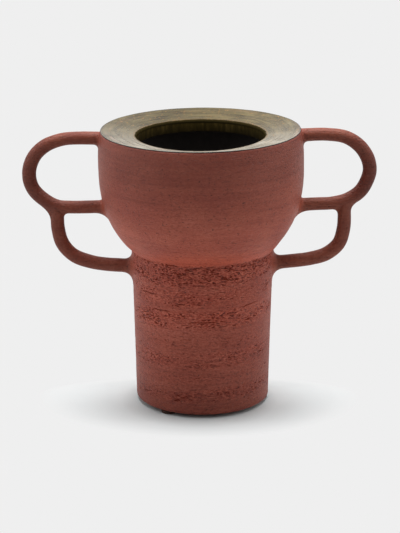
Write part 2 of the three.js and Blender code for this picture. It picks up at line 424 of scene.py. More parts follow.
def torn_edge(radius, height, angle):
    """The smooth band, with the column's torn marks running a ragged way up it."""
    smooth, _, _ = turning(radius, height, angle)
    rough, _, marks = torn(radius, height, angle)
    ragged = gradient_noise(round_axis(radius, height, angle) / (7, 7, 4), 17)
    share = 1 - smoothstep(0, EDGE_REACH, height - SEAM + EDGE_RAGGED * ragged)
    marks = {name: values * share for name, values in marks.items()}
    return smooth + (rough - radius) * share, height, marks


class Graph:
    """A material's nodes, made and joined by short calls."""

    def __init__(self, name):
        self.material = bpy.data.materials.new(name)
        self.material.use_nodes = True
        self.tree = self.material.node_tree
        self.shader = self.tree.nodes["Principled BSDF"]
        coordinates = self.tree.nodes.new("ShaderNodeTexCoord")
        self.place = coordinates.outputs["Object"]

    def node(self, kind, **settings):
        made = self.tree.nodes.new(kind)
        for key, value in settings.items():
            setattr(made, key, value)
        return made

    def feed(self, socket, value):
        if isinstance(value, bpy.types.NodeSocket):
            self.tree.links.new(value, socket)
        else:
            socket.default_value = value

    def stretched(self, scale, shift=(0, 0, 0)):
        made = self.node("ShaderNodeMapping")
        self.feed(made.inputs["Vector"], self.place)
        made.inputs["Scale"].default_value = scale
        made.inputs["Location"].default_value = shift
        return made.outputs["Vector"]

    def split(self, vector):
        made = self.node("ShaderNodeSeparateXYZ")
        self.feed(made.inputs[0], vector)
        return made.outputs

    def join(self, x, y, z):
        made = self.node("ShaderNodeCombineXYZ")
        for socket, value in zip(made.inputs, (x, y, z)):
            self.feed(socket, value)
        return made.outputs[0]

    def mark(self, name):
        return self.node("ShaderNodeAttribute", attribute_name=name).outputs["Fac"]

    def noise(self, vector, scale=1.0, detail=4, roughness=0.55):
        made = self.node("ShaderNodeTexNoise")
        self.feed(made.inputs["Vector"], vector)
        made.inputs["Scale"].default_value = scale
        made.inputs["Detail"].default_value = detail
        made.inputs["Roughness"].default_value = roughness
        return made.outputs["Fac"]

    def ramp(self, value, stops):
        made = self.node("ShaderNodeValToRGB")
        self.feed(made.inputs["Fac"], value)
        elements = made.color_ramp.elements
        elements.remove(elements[1])
        for position, colour in stops:
            elements.new(position).color = (*colour, 1)
        elements.remove(elements[0])
        return made.outputs["Color"]

    def span(self, value, low, high, start=0.0, end=1.0):
        """The value's place between low and high, as a number from start to end."""
        made = self.node("ShaderNodeMapRange")
        self.feed(made.inputs["Value"], value)
        made.inputs["From Min"].default_value = low
        made.inputs["From Max"].default_value = high
        made.inputs["To Min"].default_value = start
        made.inputs["To Max"].default_value = end
        return made.outputs["Result"]

    def math(self, operation, first, second=0.0):
        made = self.node("ShaderNodeMath", operation=operation)
        self.feed(made.inputs[0], first)
        self.feed(made.inputs[1], second)
        return made.outputs[0]

    def line(self, value, slope, start):
        """A number that is start where the value is 0, and grows with it by slope."""
        return self.math("ADD", self.math("MULTIPLY", value, slope), start)

    def hypotenuse(self, first, second):
        """The length of two distances at right angles."""
        return self.math("SQRT", self.math("ADD", self.math("MULTIPLY", first, first),
                                           self.math("MULTIPLY", second, second)))

    def mix(self, share, first, second, blend="MIX"):
        made = self.node("ShaderNodeMix", data_type="RGBA", blend_type=blend)
        for place, value in zip(MIX_INPUTS, (share, first, second)):
            if isinstance(value, tuple) and len(value) == 3:
                value = (*value, 1)
            self.feed(made.inputs[place], value)
        return made.outputs[MIX_OUTPUT]

    def times(self, colour, factor):
        """The colour multiplied by a second one, or by a number."""
        if factor.type == "VALUE":
            factor = self.join(factor, factor, factor)
        return self.mix(1.0, colour, factor, "MULTIPLY")

    def touched(self, colour, value, start, full, share, over, blend="MIX"):
        """The colour with a share of another over it, where the value goes from start to full."""
        return self.mix(self.span(value, start, full, 0, share), colour, over, blend)

    def bump(self, height, depth):
        made = self.node("ShaderNodeBump")
        self.feed(made.inputs["Height"], height)
        made.inputs["Distance"].default_value = depth
        made.inputs["Strength"].default_value = 1.0
        self.tree.links.new(made.outputs["Normal"], self.shader.inputs["Normal"])

    def set(self, **values):
        for name, value in values.items():
            self.feed(self.shader.inputs[name.replace("_", " ")], value)


def upright_place(graph):
    """The place as reach from the bowl's axis, level above the seam, and direction round it."""
    x, y, z = graph.split(graph.place)
    x = graph.math("SUBTRACT", x, FOOT_OFFSET * MM)
    rise = graph.math("SUBTRACT", z, SEAM * MM)
    across = graph.math("ADD", graph.math("MULTIPLY", x, math.cos(LEAN)),
                        graph.math("MULTIPLY", rise, math.sin(LEAN)))
    level = graph.math("SUBTRACT", graph.math("MULTIPLY", rise, math.cos(LEAN)),
                       graph.math("MULTIPLY", x, math.sin(LEAN)))
    reach = graph.hypotenuse(across, y)
    turn_x = graph.math("DIVIDE", across, reach)
    turn_y = graph.math("DIVIDE", y, reach)
    return reach, level, turn_x, turn_y


CLAY_DARK = linear(155, 70, 53)
CLAY = linear(164, 79, 59)
CLAY_PALE = linear(173, 87, 68)
CLAY_TORN = linear(170, 71, 49)
CLAY_BLUSH = linear(176, 79, 56)
CLAY_SPECK = linear(62, 24, 18)
PIT_SHADE = linear(98, 32, 20)

# What the clay's colour is multiplied by: at a turning line, at a dash as painted shade of a tiny
# pit, and by the noise of its wisps and of its grains
TURNED_LINE = (0.62, 0.46, 0.42)
DASH_SHADE = (0.42, 0.3, 0.26)
WISPS = [(0.36, (0.93, 0.89, 0.88)), (0.5, (1, 1, 1)), (0.64, (1.05, 1.09, 1.1))]
GRAINS = [(0.33, (0.62, 0.39, 0.33)), (0.5, (1, 1, 1)), (0.67, (1.45, 2.0, 2.25))]

# Painted light and shade by height: lighter on the lower bowl and the band, where bounce light
# from the floor falls, darker at the top of the bowl and at the foot: height and share of the
# lightest tone
PAINTED_LIGHT_BY_HEIGHT = [(0, 0.6), (20, 0.63), (38, 0.73), (70, 0.79), (100, 0.92), (120, 0.85),
              (134.5, 0.81), (137.5, 0.98), (148, 0.99), (165, 0.94), (190, 0.77),
              (212, 0.61), (230, 0.53), (238, 0.55)]

# The coils' painted shade deepens between these distances from the bowl's axis; their tones are
# greyer than the clay's as a painted sheen
COIL_NEAR = 116
COIL_FAR = 142
COIL_SHADE_AND_SHEEN = [(0, (0.53, 0.61, 0.59)), (1, (0.36, 0.385, 0.385))]

# The blush on the band begins at the seam, along a ragged edge. It is whole up to its start
# and gone at its end, in height above the seam.
BLUSH_START = 5.0
BLUSH_END = 15.0
BLUSH_RAGGED = 1.5
BLUSH_SHARE = 0.85


def blushed(graph, body, level):
    """The clay's colour with the blush over it."""
    ragged = graph.span(graph.noise(graph.place, 150, detail=3), 0.3, 0.7,
                        -BLUSH_RAGGED * MM, BLUSH_RAGGED * MM)
    edge = graph.math("ADD", level, ragged)
    begun = graph.span(edge, -0.7 * MM, 1.6 * MM)
    left = graph.span(level, BLUSH_END * MM, BLUSH_START * MM, 0, BLUSH_SHARE)
    return graph.mix(graph.math("MULTIPLY", begun, left), body, CLAY_BLUSH)


def clay_material(name, on_body):
    """Coarse red stoneware: faint turning lines, grog specks, and a redder tone where torn.

    The thrown body has painted light and shade by height, and is reddest just above the seam.
    Its pits and dashes have painted shade. The coils are darker, with painted shade that
    deepens far out from the body and a little painted sheen, and take the body's painted
    tone at their roots.
    """
    graph = Graph(name)
    pit = graph.mark("pit")
    torn_here = graph.mark("torn")
    reach, level, _, _ = upright_place(graph)
    broad = graph.noise(graph.place, 24, detail=3, roughness=0.5)
    body = graph.ramp(broad, [(0.3, CLAY_DARK), (0.52, CLAY), (0.74, CLAY_PALE)])
    body = graph.mix(graph.math("MULTIPLY", torn_here, 0.75), body, CLAY_TORN)
    if on_body:
        body = blushed(graph, body, level)
    turned = graph.noise(graph.stretched((12, 12, 400)), detail=4, roughness=0.65)
    body = graph.touched(body, turned, 0.5, 0.66, share=0.36, over=TURNED_LINE, blend="MULTIPLY")
    wisps = graph.noise(graph.stretched((16, 16, 120), (3, 1, 2)), detail=3, roughness=0.6)
    body = graph.times(body, graph.ramp(wisps, WISPS))
    grain = graph.noise(graph.stretched((460, 460, 800)), detail=3, roughness=0.6)
    contrast = graph.line(torn_here, slope=0.75, start=0.22)
    body = graph.mix(contrast, body, graph.ramp(grain, GRAINS), "MULTIPLY")
    # Tiny pits that are only bumps, darkened by painted shade
    dashes = graph.noise(graph.stretched((290, 290, 1050), (2, 4, 1)), detail=2, roughness=0.5)
    dash = graph.math("MULTIPLY", graph.span(dashes, 0.57, 0.66),
                      graph.line(torn_here, slope=0.6, start=0.4))
    body = graph.mix(dash, body, DASH_SHADE, "MULTIPLY")
    specks = graph.noise(graph.place, 560, detail=2, roughness=0.5)
    body = graph.touched(body, specks, 0.655, 0.73, share=0.8, over=CLAY_SPECK)
    # Painted shade in the pits, over their real relief
    body = graph.mix(graph.math("MULTIPLY", pit, 0.8), body, PIT_SHADE)
    # The body's painted light and shade by height
    tones = [(height / RIM_HEIGHT, (share, share, share)) for height, share in PAINTED_LIGHT_BY_HEIGHT]
    tone = graph.ramp(graph.span(level, -SEAM * MM, BOWL_HEIGHT * MM), tones)
    sheen = graph.span(pit, 0, 1, start=0.28, end=0.04)
    if not on_body:
        # The coils' painted shade and sheen; at their roots they take the body's painted light by
        # height
        coil_shade = graph.ramp(graph.span(reach, COIL_NEAR * MM, COIL_FAR * MM), COIL_SHADE_AND_SHEEN)
        tone = graph.mix(graph.mark("root"), coil_shade, tone)
        sheen = 0.22
    body = graph.times(body, tone)
    graph.set(Base_Color=body, Roughness=0.5, Specular_IOR_Level=sheen)
    fine = graph.noise(graph.place, 1300, detail=4, roughness=0.7)
    rough = graph.math("ADD", fine, graph.math("MULTIPLY", grain, 1.4))
    graph.bump(graph.math("SUBTRACT", rough, graph.math("MULTIPLY", dash, 1.5)), 0.3 * MM)
    return graph.material


# The olive glaze with a painted reflection, lightest and greyest at the front of the rim, at 0,
# and darkest at its back, at 1
OLIVE_AND_PAINTED_REFLECTION = [(0.2, linear(133, 125, 110)), (0.5, linear(97, 88, 68)), (0.75, linear(90, 79, 52)),
         (1, linear(78, 67, 38))]

# What its colour is multiplied by in the brush's strokes, and where it is thin
STROKES = [(0.36, (0.4, 0.37, 0.32)), (0.5, (0.95, 0.95, 0.95)), (0.62, (1.55, 1.58, 1.7))]
THIN_GLAZE = (1.5, 1.25, 1.35)

GLAZE_SPECK = linear(146, 106, 58)
GLAZE_GRIT = linear(46, 34, 22)
GLAZE_TAN = linear(112, 86, 52)
GLAZE_DARK = linear(46, 39, 20)
HEM_SHADOW = linear(30, 25, 28)


def rim_material():
    """Satin olive glaze brushed round the rim: thin in places, speckled, tan at the mouth, with a
    painted reflection lightening its front and painted shade at its left.
    """
    graph = Graph("olive_glaze")
    reach, _, turn_x, turn_y = upright_place(graph)

    def brushed(turns, fineness):
        return graph.join(graph.math("MULTIPLY", turn_x, turns),
                          graph.math("MULTIPLY", turn_y, turns),
                          graph.math("MULTIPLY", reach, fineness))

    streak = graph.noise(brushed(2.6, 330), detail=5, roughness=0.62)
    cloud = graph.noise(graph.place, 40, detail=4, roughness=0.6)
    # Painted reflection from front to back, then painted shade towards the left
    tone = graph.ramp(graph.span(turn_y, -1, 1), OLIVE_AND_PAINTED_REFLECTION)
    tone = graph.times(tone, graph.span(turn_x, -1, 0.6, start=0.84, end=1.0))
    brush = graph.math("ADD", graph.math("MULTIPLY", streak, 0.6),
                       graph.math("MULTIPLY", cloud, 0.4))
    tone = graph.times(tone, graph.ramp(brush, STROKES))
    thin = graph.noise(brushed(1.3, 150), detail=4, roughness=0.6)
    tone = graph.touched(tone, thin, 0.56, 0.68, share=0.6, over=THIN_GLAZE, blend="MULTIPLY")
    specks = graph.noise(graph.place, 430, detail=2, roughness=0.5)
    tone = graph.touched(tone, specks, 0.64, 0.71, share=0.7, over=GLAZE_SPECK)
    grit = graph.noise(graph.stretched((1, 1, 1), (4, 9, 2)), 480, detail=2, roughness=0.5)
    tone = graph.touched(tone, grit, 0.65, 0.72, share=0.85, over=GLAZE_GRIT)
    tone = graph.mix(graph.math("MULTIPLY", graph.mark("tan"), 0.7), tone, GLAZE_TAN)
    dark = graph.mark("dark")
    tone = graph.mix(dark, tone, GLAZE_DARK)
    # Painted shadow line at the glaze's hem
    tone = graph.mix(graph.mark("hem"), tone, HEM_SHADOW)
    gloss = graph.math("MULTIPLY", graph.math("SUBTRACT", 1.0, dark), 0.16)
    graph.set(Base_Color=tone, Roughness=graph.span(streak, 0.3, 0.7, start=0.22, end=0.36),
              Specular_IOR_Level=gloss)
    graph.bump(graph.math("ADD", streak, graph.noise(graph.place, 420, detail=3)), 0.16 * MM)
    return graph.material


# The dark glaze by the noise of its runs, at the mouth and, darker as painted shade, further down
# in the collar, and the plain coat below the collar, which hardly any light reaches, painted a
# lighter grey as painted light
RUNS_HIGH = [(0.35, linear(56, 46, 21)), (0.55, linear(75, 63, 30)), (0.72, linear(104, 86, 46))]
RUNS_LOW_SHADED = [(0.35, linear(34, 28, 14)), (0.55, linear(46, 38, 19)), (0.72, linear(68, 57, 30))]
COAT_WITH_PAINTED_LIGHT = linear(92, 87, 85)


def dark_glaze_material():
    """Dark olive glaze that ran down in ragged lines in the mouth's collar, with painted shade
    lower down and at the sides, and painted light on the coat below it.
    """
    graph = Graph("dark_glaze")
    _, level, turn_x, turn_y = upright_place(graph)
    runs = graph.noise(graph.join(graph.math("MULTIPLY", turn_x, 22),
                                  graph.math("MULTIPLY", turn_y, 22),
                                  graph.math("MULTIPLY", level, 60)), detail=4, roughness=0.65)
    bottom = BOWL_HEIGHT - RIM_FALL - RIM_THICKNESS - LINING_THICKNESS
    collar = graph.span(level, (bottom - 0.9) * MM, (bottom - 0.2) * MM)
    # Painted shade deeper in the collar
    deep = graph.span(level, (bottom + 6.5) * MM, (bottom + 0.5) * MM)
    glaze = graph.mix(deep, graph.ramp(runs, RUNS_HIGH), graph.ramp(runs, RUNS_LOW_SHADED))
    # Painted shade towards the mouth's sides
    to_the_sides = graph.math("ABSOLUTE", turn_x)
    glaze = graph.times(glaze, graph.span(to_the_sides, 0.45, 0.95, start=1.0, end=0.42))
    graph.set(Base_Color=graph.mix(collar, COAT_WITH_PAINTED_LIGHT, glaze), Roughness=0.6,
              Specular_IOR_Level=0.03)
    graph.bump(runs, 0.3 * MM)
    return graph.material


def felt_material():
    graph = Graph("brown_felt")
    fibre = graph.noise(graph.place, 2200, detail=6, roughness=0.7)
    graph.set(Base_Color=graph.ramp(fibre, [(0.3, linear(32, 16, 9)), (0.7, linear(66, 36, 22))]),
              Roughness=0.95)
    graph.bump(fibre, 0.3 * MM)
    return graph.material


def make_column(material):
    outer = rounded((FOOT_RADIUS - FOOT_EDGE_ROUND, FOOT_HEIGHT + FOOT_EDGE_ROUND),
                    FOOT_EDGE_ROUND, -90, -10)
    outer += outline_between(column_outside, FOOT_HEIGHT + FOOT_EDGE_ROUND, SEAM, FINE_ROWS)
    inner = outline_between(column_outside, FOOT_HEIGHT, SEAM, spacing=8, offset=-COLUMN_WALL)
    piece = turned_piece("column_skin", outer + inner[::-1], material, FINE_TURNS, relief=torn)
    dress(piece, "column_wall")


def make_band(material):
    outer = outline_between(bowl_outside, SEAM, BAND_TOP, FINE_ROWS)
    inner = outline_between(bowl_outside, SEAM, BAND_TOP, spacing=4, offset=-BOWL_WALL)
    piece = turned_piece("band_skin", outer + inner[::-1], material, FINE_TURNS, relief=torn_edge)
    dress(piece, "joint_band")


def make_bowl(material):
    outer = outline_between(bowl_outside, BAND_TOP, RIM_UNDER, BOWL_ROWS)
    inner = outline_between(bowl_outside, BAND_TOP, RIM_UNDER, spacing=5, offset=-BOWL_WALL)
    piece = turned_piece("bowl_skin", outer + inner[::-1], material, BOWL_TURNS, relief=turning)
    dress(piece, "bowl_wall")


def make_rim(clay):
    edge = 0.7
    top = RIM_HEIGHT - HEM_HEIGHT
    outer = outline_between(bowl_outside, RIM_UNDER, top - edge, BOWL_ROWS)
    outer += rounded((RIM_RADIUS - edge, top - edge), edge, 15, 90)
    outer += [(RIM_RADIUS - 1.6, RIM_HEIGHT - GLAZE_THICKNESS - 0.3)]
    inner = [(RIM_RADIUS - BOWL_WALL, RIM_UNDER),
             (COLLAR_RADIUS, MOUTH_HEIGHT - RIM_THICKNESS),
             (COLLAR_RADIUS, MOUTH_HEIGHT - LIP_ROUND)]
    piece = turned_piece("rim_skin", outer + inner[::-1], clay, BOWL_TURNS, relief=turning)
    dress(piece, "rim_plate")


# The glaze's hem, which holds a painted shadow line, and the tan line before its lip are this
# wide. The dark of the mouth ends raggedly between two shares of the lip's rounding.
HEM_WIDTH = 0.55
TAN_WIDTH = 1.1
DARK_SHARE = 0.65
DARK_END = 0.95
GLAZE_SWELL = 0.12


def glaze_relief(radius, height, angle):
    """Soft swells, and marks for the hem's painted shadow, the tan line and the dark glaze at the
    mouth.
    """
    place = round_axis(radius, height, angle)
    swell = gradient_noise(place / 16, 41)
    ragged = gradient_noise(place / 2.6, 42) + 0.5 * gradient_noise(place / 0.9, 43)
    edge = radius - MOUTH_RADIUS + 0.5 * ragged
    dark = 1 - smoothstep(DARK_SHARE * LIP_ROUND, DARK_END * LIP_ROUND, edge)
    marks = {"hem": (radius > RIM_RADIUS - HEM_WIDTH).astype(float),
             "tan": (1 - smoothstep(LIP_ROUND, LIP_ROUND + TAN_WIDTH, edge)) * (1 - dark),
             "dark": dark}
    top = radius > MOUTH_RADIUS + LIP_ROUND
    return radius, height + GLAZE_SWELL * top * swell, marks


def make_rim_glaze(glaze):
    """A coat on the sloping rim, with a low bead at its hem and a rounded lip at the mouth."""
    outer = RIM_RADIUS - 0.1
    bead = 0.25
    lip_radius = MOUTH_RADIUS + LIP_ROUND
    lip_height = MOUTH_HEIGHT + LIP_ROUND * RIM_FALL / (RIM_RADIUS - MOUTH_RADIUS)
    coat = [(outer - 1.3, RIM_HEIGHT - HEM_HEIGHT - 0.2), (outer, RIM_HEIGHT - HEM_HEIGHT + 0.02)]
    coat += rounded((outer - bead, RIM_HEIGHT - bead), bead, 0, 82, count=4)
    coat += [(lip_radius, lip_height)]
    coat += rounded((lip_radius, lip_height - LIP_ROUND), LIP_ROUND, 98, 180, count=9)
    coat += [(MOUTH_RADIUS, MOUTH_HEIGHT - LIP_ROUND - 0.4),
             (MOUTH_RADIUS + 0.9, MOUTH_HEIGHT - LIP_ROUND - 0.6),
             (lip_radius + 0.6, MOUTH_HEIGHT - GLAZE_THICKNESS - 0.2),
             (RIM_RADIUS - 2, RIM_HEIGHT - GLAZE_THICKNESS - 0.5)]
    coat.append(coat[0])
    rows = sampled(coat, GLAZE_ROWS)[:-1]
    piece = turned_piece("rim_glaze_skin", rows, glaze, BOWL_TURNS, relief=glaze_relief)
    dress(piece, "rim_glaze")


def lining_side(offset):
    """The lining's outline from the base up into the mouth, this far inside the walls."""
    bottom = FOOT_HEIGHT + BASE_THICKNESS + offset
    collar = COLLAR_RADIUS + 0.05 - offset
    rows = [(0.5, bottom)]
    rows += outline_between(column_outside, bottom, SEAM, 6, -COLUMN_WALL - offset)
    rows += outline_between(bowl_outside, SEAM + 0.5, RIM_UNDER - offset, 3, -BOWL_WALL - offset)
    rows += [(collar, MOUTH_HEIGHT - RIM_THICKNESS - offset), (collar, MOUTH_HEIGHT - LIP_ROUND)]
    return rows


def make_lining(material):
    rows = lining_side(LINING_GAP) + lining_side(LINING_THICKNESS)[::-1]
    piece = turned_piece("lining_skin", rows, material, HIDDEN_TURNS, closed=False)
    dress(piece, "lining_glaze")


def make_base(material):
    radius = FOOT_RADIUS - COLUMN_WALL
    top = FOOT_HEIGHT + BASE_THICKNESS
    outline = [(0.3, FOOT_HEIGHT), (radius, FOOT_HEIGHT), (radius, top), (0.3, top)]
    rows = sampled(outline, 2)
    piece = turned_piece("base_skin", rows, material, HIDDEN_TURNS, closed=False)
    dress(piece, "base_slab")


def smooth_route(knots, spacing):
    """Points along a smooth curve through the knots."""
    knots = np.array(knots, float)
    knots = np.vstack([2 * knots[0] - knots[1], knots, 2 * knots[-1] - knots[-2]])
    points = []
    for i in range(1, len(knots) - 2):
        p0, p1, p2, p3 = knots[i - 1:i + 3]
        t01, t12, t23 = (np.linalg.norm(b - a) ** 0.5 for a, b in ((p0, p1), (p1, p2), (p2, p3)))
        m1 = (p2 - p1) + t12 * ((p1 - p0) / t01 - (p2 - p0) / (t01 + t12))
        m2 = (p2 - p1) + t12 * ((p3 - p2) / t23 - (p3 - p1) / (t12 + t23))
        count = max(2, int(np.linalg.norm(p2 - p1) / spacing))
        for t in np.arange(count) / count:
            points.append((2 * t ** 3 - 3 * t ** 2 + 1) * p1 + (t ** 3 - 2 * t ** 2 + t) * m1
                          + (3 * t ** 2 - 2 * t ** 3) * p2 + (t ** 3 - t ** 2) * m2)
    points.append(knots[-2])
    return np.array(points)


# A fillet is looked for from these shares of the coil's length towards its start and its end,
# at so many stations and then by halving between two. Its rings run from -1 on the coil to 1
# on the surface, and a last one lies sunk in it.
FILLET_SEARCH = (0.45, 0.55)
FILLET_STATIONS = 90
FILLET_HALVINGS = 12
FILLET_RINGS = 15
SUNK_RING = 1.25
SUNK_DEPTH = 0.8

# The share of the room on a surface that a fillet may take
FILLET_ROOM = 0.7


class Coil:
    """A coil along a route in the plane of the handles, with its radius along the way."""

    SIDES = 48

    def __init__(self, knots, radii):
        route = smooth_route([(x, 0.0, z) for x, z in knots], ROUTE_STEP)
        share = np.linspace(0, 1, len(route))
        steps = np.arange(1, ROOT_EXTENSION / ROUTE_STEP)[:, None]
        start = route[0] + (route[0] - route[1]) * steps[::-1]
        end = route[-1] + (route[-1] - route[-2]) * steps
        self.middle = np.vstack([start, route, end])
        share = np.concatenate([0 * steps[:, 0], share, 0 * steps[:, 0] + 1])
        ahead = np.gradient(self.middle, axis=0)
        self.ahead = ahead / np.linalg.norm(ahead, axis=1)[:, None]
        self.up = np.cross(self.ahead, (0.0, 1.0, 0.0))
        self.radius = np.interp(share, *zip(*radii))
        self.angles = np.arange(self.SIDES) * 2 * math.pi / self.SIDES

    def at(self, index, proud=0.0):
        """Points on the coil's surface, one for each side, raised by proud."""
        index = np.broadcast_to(index, self.SIDES)
        low = np.clip(np.floor(index).astype(int), 0, len(self.middle) - 2)
        part = (index - low)[:, None]
        centre = self.middle[low] * (1 - part) + self.middle[low + 1] * part
        up = self.up[low] * (1 - part) + self.up[low + 1] * part
        size = np.interp(index, np.arange(len(self.radius)), self.radius) + proud
        out = np.cos(self.angles)[:, None] * (0, 1, 0) + np.sin(self.angles)[:, None] * up
        return centre + size[:, None] * out

    def distance(self, points):
        gaps = np.linalg.norm(points[:, None, :] - self.middle[None, ::2, :], axis=2)
        return (gaps - self.radius[None, ::2]).min(axis=1)

    def radius_near(self, point):
        return self.radius[np.linalg.norm(self.middle - point, axis=1).argmin()]

    def fillet(self, surface, sizes, towards, width, at_start):
        """Rings that sweep from the coil out onto another surface, nearest the coil first.

        The first of the two sizes is for the coil's side towards a direction, the second for
        the side away from it. A fillet is never wider than the surface that it lands on, whose
        reach to the front and back is given. The last ring lies sunk in that surface.
        """
        last = len(self.middle) - 1.0
        inside = 0.0 if at_start else last
        far = last * FILLET_SEARCH[0 if at_start else 1]
        side = (self.at(inside) - self.middle[int(inside)]) @ np.array(towards) / COIL_RADIUS
        size = sizes[1] + (sizes[0] - sizes[1]) * np.clip(side + 1, 0, 2) / 2
        sideways = np.maximum(np.abs(np.cos(self.angles)), 0.05)
        room = width / sideways - self.radius[int(inside)]
        size = np.minimum(size, FILLET_ROOM * room)
        stations = np.linspace(far, inside, FILLET_STATIONS)
        rings = []
        for u in list(np.linspace(-1, 1, FILLET_RINGS)) + [SUNK_RING]:
            small = (1 - min(abs(u), 1)) ** 2 / 4
            proud = (small + max(u, 0)) * size
            gap = (small + max(-u, 0)) * size if u <= 1 else -SUNK_DEPTH
            clear = np.array([surface(self.at(station, proud)) - gap for station in stations])
            met = clear <= 0
            first = np.where(met.any(axis=0), met.argmax(axis=0), clear.argmin(axis=0))
            low = stations[first]
            high = stations[np.maximum(first - 1, 0)]
            for _ in range(FILLET_HALVINGS):
                middle = (low + high) / 2
                open_here = surface(self.at(middle, proud)) > gap
                high = np.where(open_here, middle, high)
                low = np.where(open_here, low, middle)
            rings.append((self.at(high, proud), high))
        return rings

    def rings(self, start_root, end_root):
        """The coil's rings from one fillet to the other; each root is a fillet's arguments."""
        start = self.fillet(*start_root, True)
        end = self.fillet(*end_root, False)
        first = start[0][1].max() + 2
        last = end[0][1].min() - 2
        count = int((last - first) * ROUTE_STEP / COIL_ROWS)
        rows = [points for points, _ in start[::-1]]
        rows += [self.at(index) for index in np.linspace(first, last, count)]
        rows += [points for points, _ in end]
        return rows


UPWARDS = (0, 0, 1)
BODY_OUTLINE = np.array(
    outline_between(outside, 0, RIM_HEIGHT, 2.5) + [(MOUTH_RADIUS, MOUTH_HEIGHT)])


def body_distance(points):
    """How far points lie outside the body's surface; inside it is negative."""
    straight = upright(points)
    flat = np.stack([np.hypot(straight[:, 0], straight[:, 1]), straight[:, 2]], axis=1)
    start = BODY_OUTLINE[:-1]
    along = BODY_OUTLINE[1:] - start
    reach = flat[:, None, :] - start[None]
    share = np.clip((reach * along).sum(2) / (along ** 2).sum(1), 0, 1)
    gap = np.linalg.norm(reach - share[:, :, None] * along[None], axis=2).min(axis=1)
    top = RIM_HEIGHT - RIM_FALL * (RIM_RADIUS - flat[:, 0]) / (RIM_RADIUS - MOUTH_RADIUS)
    within = (flat[:, 0] < outside(flat[:, 1])) & (flat[:, 1] < np.minimum(top, RIM_HEIGHT))
    return np.where(within, -gap, gap)


def make_coil(node, coil, rows, branch, material):
    points = np.vstack(rows)
    swell = gradient_noise(points / 17, 31)
    grain = gradient_noise(points / 4, 32)
    clear = body_distance(points)
    weight = np.clip(clear / BODY_CALM, 0, 1)
    weight *= smoothstep(BRANCH_CALM, 2 * BRANCH_CALM, np.linalg.norm(points - branch, axis=1))
    middles = coil.middle[::4]
    nearest = np.linalg.norm(points[:, None, :] - middles[None], axis=2).argmin(axis=1)
    out = points - middles[nearest]
    out /= np.linalg.norm(out, axis=1)[:, None]
    points = points + out * (weight * (COIL_SWELL * swell + COIL_GRAIN * grain))[:, None]
    faces = ring_faces(len(rows), coil.SIDES, False)
    marks = {"pit": 0 * clear, "torn": 0 * clear,
             "root": ROOT_SHARE * (1 - smoothstep(ROOT_START, ROOT_BLEND, clear))}
    dress(mesh_piece(node + "_coil", placed(points), faces, material, marks), node)


def make_loops(side, loop, material):
    sign = loop["side"]
    upper_knots = [(sign * (BELLY_RADIUS + out), RIM_HEIGHT - drop) for out, drop in loop["upper"]]
    branch_out, branch_drop = loop["branch"]
    lower_knots = [(sign * (BELLY_RADIUS + branch_out), RIM_HEIGHT - branch_drop)]
    lower_knots += [(sign * (BELLY_RADIUS + out), SEAM + rise) for out, rise in loop["lower"]]
    lower_knots += [(sign * (COLUMN_TOP_RADIUS - COIL_RADIUS), SEAM + loop["root"])]
    upper = Coil(upper_knots, UPPER_COIL)
    branch = np.array([lower_knots[0][0], 0.0, lower_knots[0][1]])
    meeting = upper.radius_near(branch)
    lower = Coil(lower_knots, [(0, meeting - BRANCH_TUCK)] + LOWER_COIL)
    rim_root = (body_distance, RIM_ROOT, UPWARDS, MOUTH_RADIUS)
    side_root = (body_distance, SIDE_ROOT, UPWARDS, MOUTH_RADIUS)
    branch_root = (upper.distance, loop["branch_root"], (sign, 0, 0), meeting)
    column_root = (body_distance, COLUMN_ROOT, UPWARDS, MOUTH_RADIUS)
    make_coil("upper_loop_" + side, upper, upper.rings(rim_root, side_root), branch, material)
    make_coil("lower_loop_" + side, lower, lower.rings(branch_root, column_root), branch, material)


def make_pad(node, material):
    low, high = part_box(node)
    radius = (high.x - low.x) / 2 / MM
    thick = high.z / MM
    outline = [(0.2, 0), (radius - 0.3, 0), (radius, 0.4), (radius, thick - 0.3),
               (radius - 0.2, thick), (0.2, thick)]
    rows = sampled(outline, FELT_ROWS)
    points = round_axis(*around(rows, FELT_TURNS)) * MM
    points += np.array([(low.x + high.x) / 2, (low.y + high.y) / 2, 0])
    faces = ring_faces(len(rows), FELT_TURNS, False)
    dress(mesh_piece(node + "_felt", points, faces, material), node)


def area_light(name, place, aim, size, power):
    lamp = bpy.data.lights.new(name, "AREA")
    lamp.shape = "RECTANGLE"
    lamp.size, lamp.size_y = size
    lamp.energy = power
    light = bpy.data.objects.new(name, lamp)
    light.location = place
    light.rotation_euler = (Vector(aim) - Vector(place)).to_track_quat("-Z", "Y").to_euler()
    bpy.context.scene.collection.objects.link(light)


BACKGROUND = linear(239, 239, 239)
WORLD_LIGHT = 0.12

# Place, size and power of each lamp, and what they are aimed at
LAMPS = {
    "top_softbox": ((0, 0.2, 1.4), (1.2, 0.9), 33),
    "left_softbox": ((-1.35, -0.05, 0.78), (1.5, 1.2), 8.6),
    "right_softbox": ((1.35, -0.05, 0.78), (1.5, 1.2), 7.2),
}
AIM = (0, 0, 0.15)


def looked_at(tree):
    """1 for rays from the camera, a mirror or glass, and 0 for those that carry light."""
    path = tree.nodes.new("ShaderNodeLightPath")
    seen = path.outputs["Is Camera Ray"]
    for ray in ("Is Glossy Ray", "Is Transmission Ray"):
        either = tree.nodes.new("ShaderNodeMath")
        either.operation = "MAXIMUM"
        tree.links.new(seen, either.inputs[0])
        tree.links.new(path.outputs[ray], either.inputs[1])
        seen = either.outputs[0]
    return seen


